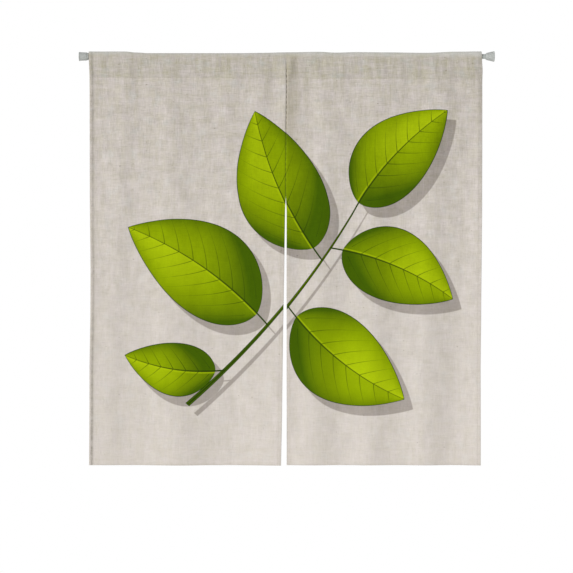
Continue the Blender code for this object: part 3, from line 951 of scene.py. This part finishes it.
def ink_group(shape):
    """The node group that prints one blade over what is under it."""
    group, given = new_group("printed_blade", {**BLADE_INPUTS, **INK_INPUTS}, {"Colour": COLOUR})
    blade = group.nodes.new("ShaderNodeGroup")
    blade.node_tree = shape
    for name in BLADE_INPUTS:
        group.links.new(given[name], blade.inputs[name])
    along, off, room, edge = blade.outputs
    side = add(group, "Math.ABSOLUTE", off)
    cover = add(group, "MapRange", edge, -0.0004, 0.0005, **SOFTLY)
    share = add(group, "Math.DIVIDE", side, room, use_clamp=True)

    # Tone: bright beside the rib, darker towards the margin, the base and the lower half
    rim = add(group, "Math.POWER", share, 2.2)
    base = add(group, "MapRange", along, 0.05, 0.68, 0.68, 0.0, **SOFTLY)
    half = add(group, "MapRange", off, -0.0006, 0.0006, 0.32, 0.04)
    tone = add(group, "Math.MULTIPLY_ADD", rim, 0.50, base)
    tone = add(group, "Math.ADD", tone, half)
    tone = add(group, "Math.ADD", tone, given["Darkness"])
    ramp = add(group, "ValToRGB", tone)
    stops = ramp.node.color_ramp.elements
    stops[0].position, stops[0].color = 0.0, INK_BRIGHT
    stops[1].position, stops[1].color = 1.0, INK_DARK
    stops.new(0.42).color = INK_MIDDLE

    # Side veins: lines that leave the rib forwards and curl towards the tip, thinner near the margin
    reach = add(group, "Math.MULTIPLY", along, given["Length"])
    slant = add(group, "Math.MULTIPLY_ADD", side, -0.75, reach)
    curl = add(group, "Math.MULTIPLY", side, side)
    line = add(group, "Math.MULTIPLY_ADD", curl, -4.5, slant)
    half_gap = add(group, "Math.MULTIPLY", given["Vein spacing"], 0.5)
    apart = add(group, "Math.PINGPONG", line, half_gap)
    thick = add(group, "MapRange", share, 0.0, 0.9, 0.0011, 0.0001)
    vein = add(group, "Math.SUBTRACT", thick, apart)
    vein = add(group, "MapRange", vein, -0.0004, 0.0005)
    on_blade = add(group, "Math.GREATER_THAN", along, 1.6 * STALK_SHARE)
    vein = add(group, "Math.MULTIPLY", vein, on_blade)
    vein = add(group, "Math.MULTIPLY", vein, given["Is leaf"])

    # The rib, a dark line that thins towards the tip, with a bright line on its upper side
    rib_width = add(group, "MapRange", along, 0.0, 1.0, 0.0019, 0.0005)
    rib = add(group, "Math.SUBTRACT", rib_width, side)
    rib = add(group, "MapRange", rib, -0.0004, 0.0004)
    glint_at = add(group, "Math.ADD", off, -0.0034)
    glint_off = add(group, "Math.ABSOLUTE", glint_at)
    glint = add(group, "MapRange", glint_off, 0.0008, 0.0022, 0.55, 0.0)
    glint = add(group, "Math.MULTIPLY", glint, given["Is leaf"])
    margin = add(group, "MapRange", edge, 0.0009, 0.0021, 1.0, 0.0)

    lit = add(group, "Mix", {0: glint, 6: ramp, 7: INK_BRIGHT}, **COLOURS)
    lines = add(group, "Math.MULTIPLY", vein, 0.72)
    ribbed = add(group, "Math.MULTIPLY", rib, 0.85)
    lines = add(group, "Math.MAXIMUM", lines, ribbed)
    lines = add(group, "Math.MAXIMUM", lines, margin)
    drawn = add(group, "Mix", {0: lines, 6: lit, 7: INK_LINE}, **COLOURS)
    printed = add(group, "Mix", {0: cover, 6: given["Under"], 7: drawn}, **COLOURS)
    group.links.new(printed, group.nodes.new("NodeGroupOutput").inputs[0])
    return group


def blade_node(tree, group, blade, on_cloth, right=0.0, down=0.0):
    """A blade's group node. Its own coordinates are the spot on the cloth, moved to the blade's start,
    turned to its direction and divided by its length; a shadow's are moved on to the right and down."""
    dx, dz = blade.tip_x - blade.base_x, blade.tip_z - blade.base_z
    length = math.hypot(dx, dz)
    start = (blade.base_x + right, blade.base_z - down, 0.0)
    turned = {"Location": start, "Rotation": (0.0, 0.0, math.atan2(dz, dx)), "Scale": (length, length, 1.0)}
    node = tree.nodes.new("ShaderNodeGroup")
    node.node_tree = group
    place = add(tree, "Mapping", {"Vector": on_cloth, **turned}, vector_type="TEXTURE")
    tree.links.new(place, node.inputs["Place"])
    values = (length, blade.half_width, blade.bow, 1.0 if blade.veins else 0.0)
    for name, value in zip(("Length", "Half width", "Bow", "Is leaf"), values):
        node.inputs[name].default_value = value
    return node


def printed_over(tree, on_cloth, ground, on_ink):
    """The print on top of a ground colour: its drop shadow, the twig, and the leaves one over the other.
    Where there is ink its brightness is multiplied by on_ink, so that the weave shows, and on the back
    only a fifth of it comes through the cloth."""
    shape = bpy.data.node_groups.get("blade_shape") or shape_group()
    ink = bpy.data.node_groups.get("printed_blade") or ink_group(shape)
    depth = -1.0
    for blade in (TWIG, *LEAVES):
        edge = blade_node(tree, shape, blade, on_cloth, SHADOW_RIGHT, SHADOW_DOWN).outputs["Edge"]
        depth = add(tree, "Math.MAXIMUM", edge, depth)
    depth = add(tree, "MapRange", depth, -0.0010, 0.0014, **SOFTLY)
    shaded = add(tree, "Mix", {0: depth, 6: ground, 7: SHADOW_TINT}, blend_type="MULTIPLY", **COLOURS)
    colour = shaded
    for blade in (TWIG, *LEAVES):
        node = blade_node(tree, ink, blade, on_cloth)
        tree.links.new(colour, node.inputs["Under"])
        node.inputs["Vein spacing"].default_value = blade.veins
        node.inputs["Darkness"].default_value = blade.darkness
        colour = node.outputs["Colour"]
    uneven = add(tree, "VectorMath.SCALE", {0: colour, 3: on_ink})
    inked = add(tree, "VectorMath.DISTANCE", colour, shaded, out=1)
    inked = add(tree, "MapRange", inked, 0.0, 0.05)
    colour = add(tree, "Mix", {0: inked, 6: colour, 7: uneven}, **COLOURS)
    back = add(tree, "SeparateXYZ", on_cloth).node.outputs[2]
    faded = add(tree, "Math.MULTIPLY", back, 0.80)
    return add(tree, "Mix", {0: faded, 6: colour, 7: ground}, **COLOURS)


def yarn_noise(tree, on_cloth, sizes, detail, roughness):
    """The sum of noises that are stretched along the yarns. A size is how long a patch of the noise is
    across and up the cloth."""
    noises = []
    for across, up in sizes:
        spot = add(tree, "VectorMath.MULTIPLY", on_cloth, (1 / across, 1 / up, 0.0))
        settings = {"Vector": spot, "Scale": 1.0, "Detail": detail, "Roughness": roughness}
        noises.append(add(tree, "TexNoise", settings))
    return add(tree, "Math.ADD", *noises)


def linen_material():
    """Plain-woven linen with the printed sprig, read from the cloth's own coordinates."""
    matt = {"Roughness": 0.94, "Specular_IOR_Level": 0.02, "Sheen_Weight": 0.01, "Sheen_Roughness": 0.6}
    material, tree, shader = new_material("printed_linen_plain_weave", **matt)
    on_cloth = add(tree, "Attribute", attribute_name="on_cloth", out=1)
    across, height = add(tree, "SeparateXYZ", on_cloth).node.outputs[:2]

    # Which thread a spot lies on, and where across that thread
    threads = add(tree, "VectorMath.SCALE", {0: on_cloth, 3: 1 / THREAD_PITCH})
    number = add(tree, "VectorMath.FLOOR", threads)
    within = add(tree, "VectorMath.FRACTION", threads)
    numbers = add(tree, "SeparateXYZ", number).node.outputs
    inside = add(tree, "SeparateXYZ", within).node.outputs

    # Each thread has its own thickness and tone, which change along it every few centimetres
    tones = []
    for thread, along, offset in ((numbers[0], height, 3.7), (numbers[1], across, 91.3)):
        row = add(tree, "Math.MULTIPLY_ADD", thread, 7.31, offset)
        run = add(tree, "Math.MULTIPLY", along, 1 / SLUB_LENGTH)
        spot = add(tree, "CombineXYZ", row, run)
        tones.append(add(tree, "TexNoise", {"Vector": spot, "Scale": 1.0, "Detail": 2.0, "Roughness": 0.6}))
    warp, weft = tones
    both = add(tree, "Math.ADD", numbers[0], numbers[1])
    over = add(tree, "Math.FLOORED_MODULO", both, 2.0)
    top = add(tree, "Mix", {0: over, 2: warp, 3: weft})
    mean = add(tree, "Math.ADD", warp, weft)
    tone = add(tree, "Math.MULTIPLY_ADD", mean, 0.5, top)

    # Streaks of thick and thin yarn, 3 mm wide and 26 to 34 mm long: wider than the real single threads,
    # so that they show from a few steps away
    streak = yarn_noise(tree, on_cloth, ((0.026, 0.0030), (0.0030, 0.034)), 3.0, 0.66)
    tone = add(tree, "Math.MULTIPLY_ADD", streak, 0.78, tone)
    tone = add(tree, "MapRange", tone, 1.28, 2.28)

    # Slubs: short stretches where one yarn is thick or thin, in cells of 3.4 by 13 to 15 mm, more of
    # them dark
    for wide, tall in ((0.013, 0.0034), (0.0034, 0.015)):
        spot = add(tree, "VectorMath.MULTIPLY", on_cloth, (1 / wide, 1 / tall, 0.0))
        slub = add(tree, "TexVoronoi", {"Vector": spot, "Scale": 1.0}, voronoi_dimensions="2D")
        kind = add(tree, "SeparateXYZ", slub.node.outputs["Color"])
        kind = add(tree, "MapRange", {0: kind, 3: 0.17, 4: -0.29})
        slub = add(tree, "MapRange", slub, 0.10, 0.44, 1.0, 0.0)
        tone = add(tree, "Math.MULTIPLY_ADD", slub, kind, tone)

    # All of this is strongest in the crushed sleeve and softer towards the bottom, which hangs smooth,
    # and it lies over soft clouds
    # Painted shade along the sides, the path above the sleeve's seam, and painted shade right of the sewn
    # seam
    painted_light_fields = add(tree, "Attribute", attribute_name="painted_light_fields", out=1)
    side, above, beside = add(tree, "SeparateXYZ", painted_light_fields).node.outputs
    calm = add(tree, "MapRange", height, -0.58, -0.05, 0.38, 0.93)
    crushed = add(tree, "MapRange", above, -0.004, 0.004, 0.0, 0.62)
    calm = add(tree, "Math.ADD", calm, crushed)
    clouds = {"Vector": on_cloth, "Scale": 1 / CLOUD_SIZE, "Detail": 3.0, "Roughness": 0.55}
    cloud = add(tree, "TexNoise", clouds)
    cloud = add(tree, "Math.SUBTRACT", cloud, 0.5)
    cloudy = add(tree, "MapRange", height, -0.80, -0.35, 0.34, 0.86)
    tone = add(tree, "Math.SUBTRACT", tone, 0.5)
    # Painted shade: the ground tone is darker over the upper third of the drop and the sleeve than lower
    # down
    mean = add(tree, "MapRange", height, -0.31, -0.05, 0.635, 0.50)
    mean = add(tree, "Math.MULTIPLY_ADD", cloud, cloudy, mean)
    tone = add(tree, "Math.MULTIPLY_ADD", tone, calm, mean, use_clamp=True)
    linen = add(tree, "Mix", {0: tone, 6: LINEN_DARK, 7: LINEN_LIGHT}, **COLOURS)

    # Drifts of warm and cool in the flax, 11 mm wide and 70 to 80 mm long: pink to olive, and here and
    # there bluish
    drift = yarn_noise(tree, on_cloth, ((0.070, 0.011), (0.011, 0.080)), 2.5, 0.6)
    tint = add(tree, "MapRange", drift, 0.80, 1.20)
    flax = add(tree, "Mix", {0: tint, 6: LINEN_OLIVE, 7: LINEN_PINK}, **COLOURS)
    moved = add(tree, "Mapping", {"Vector": on_cloth, "Location": (3.1, 1.7, 0.0)})
    cool = add(tree, "TexNoise", {"Vector": moved, "Scale": 1 / COOL_SIZE, "Detail": 2.0, "Roughness": 0.6})
    cool = add(tree, "MapRange", cool, 0.54, 0.70, 0.0, 0.7)
    flax = add(tree, "Mix", {0: cool, 6: flax, 7: LINEN_BLUISH}, **COLOURS)
    share = add(tree, "MapRange", calm, 0.38, 1.45, 0.17, 0.48)
    linen = add(tree, "Mix", {0: share, 6: linen, 7: flax}, **COLOURS)

    # Specks of husk, 1 to 4 mm long, fewer towards the bottom
    spot = add(tree, "VectorMath.MULTIPLY", on_cloth, (1 / HUSK_CELL_WIDTH, 1 / HUSK_CELL_HEIGHT, 0.0))
    cells = add(tree, "TexVoronoi", {"Vector": spot, "Scale": 1.0}, voronoi_dimensions="2D")
    chance = add(tree, "SeparateXYZ", cells.node.outputs["Color"])
    often = add(tree, "MapRange", height, -0.85, -0.05, 0.92, 1.0)
    chance = add(tree, "Math.MULTIPLY", chance, often)
    size = add(tree, "MapRange", chance, 0.72, 1.0, 0.0, 0.11)
    ragged = add(tree, "TexNoise", {"Vector": on_cloth, "Scale": 1 / RAGGED_SIZE, "Detail": 1.0})
    size = add(tree, "Math.MULTIPLY", size, ragged)
    speck = add(tree, "Math.MULTIPLY", size, 1.5)
    speck = add(tree, "Math.SUBTRACT", speck, cells)
    speck = add(tree, "MapRange", speck, -0.02, 0.06, 0.0, 0.55)

    # Painted shade makes the hems greyer, and patchy. Painted shade also makes doubled cloth, which lets
    # less light through, darker and greener than a single layer: the sleeve, which starts at its stitches,
    # and the seam's allowance. A painted highlight makes the sleeve paler along its crease
    patches = {"Vector": on_cloth, "Scale": 1 / PATCH_SIZE, "Detail": 3.0, "Roughness": 0.7}
    patchy = add(tree, "TexNoise", patches)
    patchy = add(tree, "MapRange", patchy, 0.38, 0.64, 0.44, 0.84)
    # The painted shade along the sides, the groove and the bottom edge, made patchy
    side = add(tree, "Math.MULTIPLY", side, patchy)
    # Painted shade over the sleeve, from its stitches up
    sleeve = add(tree, "MapRange", above, -0.0006, 0.0006, 0.0, 0.17)
    # Painted highlight along the sleeve's crease
    rising = add(tree, "MapRange", above, 0.046, 0.057, 0.0, 0.46)
    falling = add(tree, "MapRange", above, 0.062, 0.077, 1.0, 0.0)
    crease_highlight = add(tree, "Math.MULTIPLY", rising, falling)
    shares = (speck, side, sleeve, beside, crease_highlight)
    colours = (HUSK, LINEN_SHADED, LINEN_SLEEVE_PAINTED_SHADE, LINEN_SEAM_PAINTED_SHADE, LINEN_CREASE_PAINTED_HIGHLIGHT)
    for share, colour in zip(shares, colours):
        linen = add(tree, "Mix", {0: share, 6: linen, 7: colour}, **COLOURS)

    weave = add(tree, "MapRange", {0: tone, 3: 0.84, 4: 1.12})
    colour = printed_over(tree, on_cloth, linen, weave)

    # Relief: each thread is round, the upper one stands over the lower, and slubs are thicker
    humps = [add(tree, "Math.PINGPONG", share, 0.5) for share in inside[:2]]
    hump = add(tree, "Mix", {0: over, 2: humps[0], 3: humps[1]})
    relief = add(tree, "Math.MULTIPLY_ADD", hump, 0.8, tone)
    finish(tree, shader, colour, relief, 0.55, 0.00035)
    return material


def thread_material(name, light, dark, on_ink=0.8):
    """Spun cotton sewing thread under the print: matt, with a fine twist that shows as slanted light and
    dark, and short soiled stretches, fewer towards the bottom."""
    material, tree, shader = new_material(name, Roughness=0.85, Specular_IOR_Level=0.25, Sheen_Weight=0.15)
    on_cloth = add(tree, "Attribute", attribute_name="on_cloth", out=1)
    place = add(tree, "TexCoord", out=3)
    turns = WAVE_PERIOD / TWIST_PITCH
    twist = add(tree, "TexWave", {"Vector": place, "Scale": turns, "Distortion": 2.0, "Detail": 1.0})
    soiling = {"Vector": place, "Scale": 1 / SOIL_LENGTH, "Detail": 3.0, "Roughness": 0.7}
    soil = add(tree, "TexNoise", soiling)
    height = add(tree, "SeparateXYZ", on_cloth).node.outputs[1]
    clean = add(tree, "MapRange", height, -0.85, -0.05, 0.18, 0.0)
    soil = add(tree, "Math.ADD", soil, clean)
    soil = add(tree, "MapRange", soil, 0.36, 0.54)
    tone = add(tree, "Math.MULTIPLY_ADD", twist, 0.2, soil, use_clamp=True)
    ground = add(tree, "Mix", {0: tone, 6: linear(dark), 7: linear(light)}, **COLOURS)
    finish(tree, shader, printed_over(tree, on_cloth, ground, on_ink), twist, 0.4, 0.0001)
    return material


def plastic_material():
    """Moulded polypropylene, pale grey: a fine spark-eroded grain and a soft, slightly uneven gloss."""
    material, tree, shader = new_material("moulded_polypropylene_grey", IOR=1.49, Specular_IOR_Level=0.45)
    place = add(tree, "TexCoord", out=3)
    fine = {"Vector": place, "Scale": 1 / GRAIN_SIZE, "Detail": 2.0, "Roughness": 0.6}
    grain = add(tree, "TexNoise", fine)
    clouds = {"Vector": place, "Scale": 1 / GLOSS_PATCH_SIZE, "Detail": 3.0, "Roughness": 0.55}
    cloud = add(tree, "TexNoise", clouds)
    tone = add(tree, "Math.MULTIPLY_ADD", grain, 0.35, cloud)
    tone = add(tree, "MapRange", tone, 0.45, 0.95)
    colour = add(tree, "Mix", {0: tone, 6: linear("989b98"), 7: linear("adb0ad")}, **COLOURS)
    rough = add(tree, "MapRange", cloud, 0.3, 0.7, 0.42, 0.56)
    finish(tree, shader, colour, grain, 0.25, 0.00006, rough)
    return material


def coated_steel_material():
    """Powder-coated steel tube, pale grey: slight orange peel, fine scratches where the tubes slide."""
    material, tree, shader = new_material("powder_coated_steel_grey", IOR=1.5, Specular_IOR_Level=0.5)
    place = add(tree, "TexCoord", out=3)
    peel = add(tree, "TexNoise", {"Vector": place, "Scale": 1 / PEEL_SIZE, "Detail": 1.5})
    drawn_out = (1 / SCRATCH_LENGTH, 1 / SCRATCH_WIDTH, 1 / SCRATCH_WIDTH)
    drawn = add(tree, "Mapping", {"Vector": place, "Scale": drawn_out})
    rubbed = add(tree, "TexNoise", {"Vector": drawn, "Scale": 1.0, "Detail": 3.0, "Roughness": 0.7})
    tone = add(tree, "MapRange", rubbed, 0.35, 0.70)
    colour = add(tree, "Mix", {0: tone, 6: linear("989d99"), 7: linear("b0b5b1")}, **COLOURS)
    rough = add(tree, "MapRange", rubbed, 0.35, 0.70, 0.30, 0.46)
    finish(tree, shader, colour, peel, 0.2, 0.00005, rough)
    return material


def floor_material():
    """Matt studio floor, off-white paint with a faint cloudiness. It glows like a light table, but only
    for the camera, so that it stays nearly as pale as the backdrop and adds no light."""
    material, tree, shader = new_material("matt_white_floor_paint", Roughness=0.9, Specular_IOR_Level=0.1)
    place = add(tree, "TexCoord", out=3)
    cloud = add(tree, "TexNoise", {"Vector": place, "Scale": 1 / FLOOR_CLOUD_SIZE, "Detail": 2.0})
    colour = add(tree, "Mix", {0: cloud, 6: linear("e6e5e2"), 7: linear("edecea")}, **COLOURS)
    tree.links.new(colour, shader.inputs["Base Color"])
    seen = add(tree, "LightPath")
    glow = add(tree, "Math.MULTIPLY", seen, FLOOR_GLOW)
    shader.inputs["Emission Color"].default_value = WHITE
    tree.links.new(glow, shader.inputs["Emission Strength"])
    return material


def placed(name, data, place, target):
    """A new object in the scene at its place, turned so that its -Z looks at the target."""
    made = bpy.data.objects.new(name, data)
    made.location = place
    made.rotation_euler = (Vector(target) - made.location).to_track_quat("-Z", "Y").to_euler()
    bpy.context.scene.collection.objects.link(made)
    return made


def add_camera():
    """A long lens straight in front, as far away as makes the photo's width of the scene."""
    data = bpy.data.cameras.new("camera")
    data.lens = LENS
    data.sensor_width = SENSOR
    data.clip_end = 100.0
    place = (VIEW_X, -VIEW_WIDTH * LENS / SENSOR, VIEW_Z)
    bpy.context.scene.camera = placed("camera", data, place, (VIEW_X, 0.0, VIEW_Z))


def add_softbox(box):
    """A square soft light at its place, turned to its target, that the camera doesn't see."""
    data = bpy.data.lights.new(box.name, "AREA")
    data.shape = "SQUARE"
    data.size = box.side
    data.energy = box.watts
    placed(box.name, data, box.place, box.target).visible_camera = False


def add_studio():
    """A white backdrop all round that lights the room softly, the soft lights and a pale floor."""
    scene = bpy.context.scene
    scene.view_settings.view_transform = "Standard"
    world = bpy.data.worlds.new("white_studio")
    world.use_nodes = True
    tree = world.node_tree
    room = tree.nodes["Background"]
    room.inputs["Color"].default_value = WHITE
    room.inputs["Strength"].default_value = ROOM_LIGHT
    backdrop = add(tree, "Background", {"Color": WHITE, "Strength": 1.0})
    seen = add(tree, "LightPath")
    mixed = add(tree, "MixShader", seen, room.outputs[0], backdrop)
    tree.links.new(mixed, tree.nodes["World Output"].inputs["Surface"])
    scene.world = world
    for box in SOFTBOXES:
        add_softbox(box)
    left, right = VIEW_X - FLOOR_HALF, VIEW_X + FLOOR_HALF
    corners = ((left, -FLOOR_HALF), (right, -FLOOR_HALF), (right, FLOOR_BEHIND), (left, FLOOR_BEHIND))
    floor = new_mesh("floor", np.array([(x, y, FLOOR_Z) for x, y in corners]), [(0, 1, 2, 3)])
    floor.data.materials.append(floor_material())


def dress(thing, material):
    """Gives a new piece its material, and hangs it under the root body's empty."""
    thing.data.materials.append(material)
    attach(thing, "root")


def hang_cloth():
    """Both sheets with their thread, each in place of its solid."""
    linen = linen_material()
    pale = thread_material("spun_cotton_thread", "c4bdb0", "948c7e")
    dark = thread_material("aged_cotton_thread", "b3ac9f", "6d675a")
    left = Panel("panel_left", "left_outer", "left_inner", SEAM_X - PANEL_WIDTH, LEFT_FOLDS)
    right = Panel("panel_right", "right_inner", "right_outer", SEAM_X, RIGHT_FOLDS)
    for panel, side in ((left, "left"), (right, "right")):
        sheet = panel.build("cloth_" + side)
        dress(sheet, linen)
        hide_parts(panel.node)
        hems = side_hem_thread(panel, "side_hem_thread_" + side)
        dress(hems, dark)
        seams = cross_hem_thread(panel, "cross_hem_thread_" + side)
        dress(seams, pale)
    dress(seam_thread(left, right), thread_material("dark_cotton_thread", "6f6756", "3d372b", 0.45))


def dress_rod(nodes):
    """The tubes keep their solids under a better finish, and the caps get finer ones."""
    steel, plastic = coated_steel_material(), plastic_material()
    for name in ("rod_outer_tube", "rod_inner_tube"):
        nodes[name].data.materials.clear()
        nodes[name].data.materials.append(steel)
    low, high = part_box("rod_outer_tube")
    outer_socket = (high.z - low.z) / 2 + TUBE_PLAY
    low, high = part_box("rod_inner_tube")
    inner_socket = (high.z - low.z) / 2 + TUBE_PLAY
    left_x, right_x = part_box("end_cap_left")[0].x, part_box("end_cap_right")[1].x
    left = cap_mesh("cap_left", left_x, 1, LEFT_CAP, outer_socket)
    right = cap_mesh("cap_right", right_x, -1, RIGHT_CAP, inner_socket)
    for cap, node in ((left, "end_cap_left"), (right, "end_cap_right")):
        dress(cap, plastic)
        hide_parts(node)


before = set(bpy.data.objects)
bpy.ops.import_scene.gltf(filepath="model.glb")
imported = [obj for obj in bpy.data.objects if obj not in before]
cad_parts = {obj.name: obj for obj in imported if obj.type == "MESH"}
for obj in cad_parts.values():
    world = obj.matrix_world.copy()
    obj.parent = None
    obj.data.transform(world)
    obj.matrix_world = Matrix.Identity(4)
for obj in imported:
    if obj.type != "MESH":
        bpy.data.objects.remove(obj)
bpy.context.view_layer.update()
add_camera()
add_studio()
hang_cloth()
dress_rod(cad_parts)
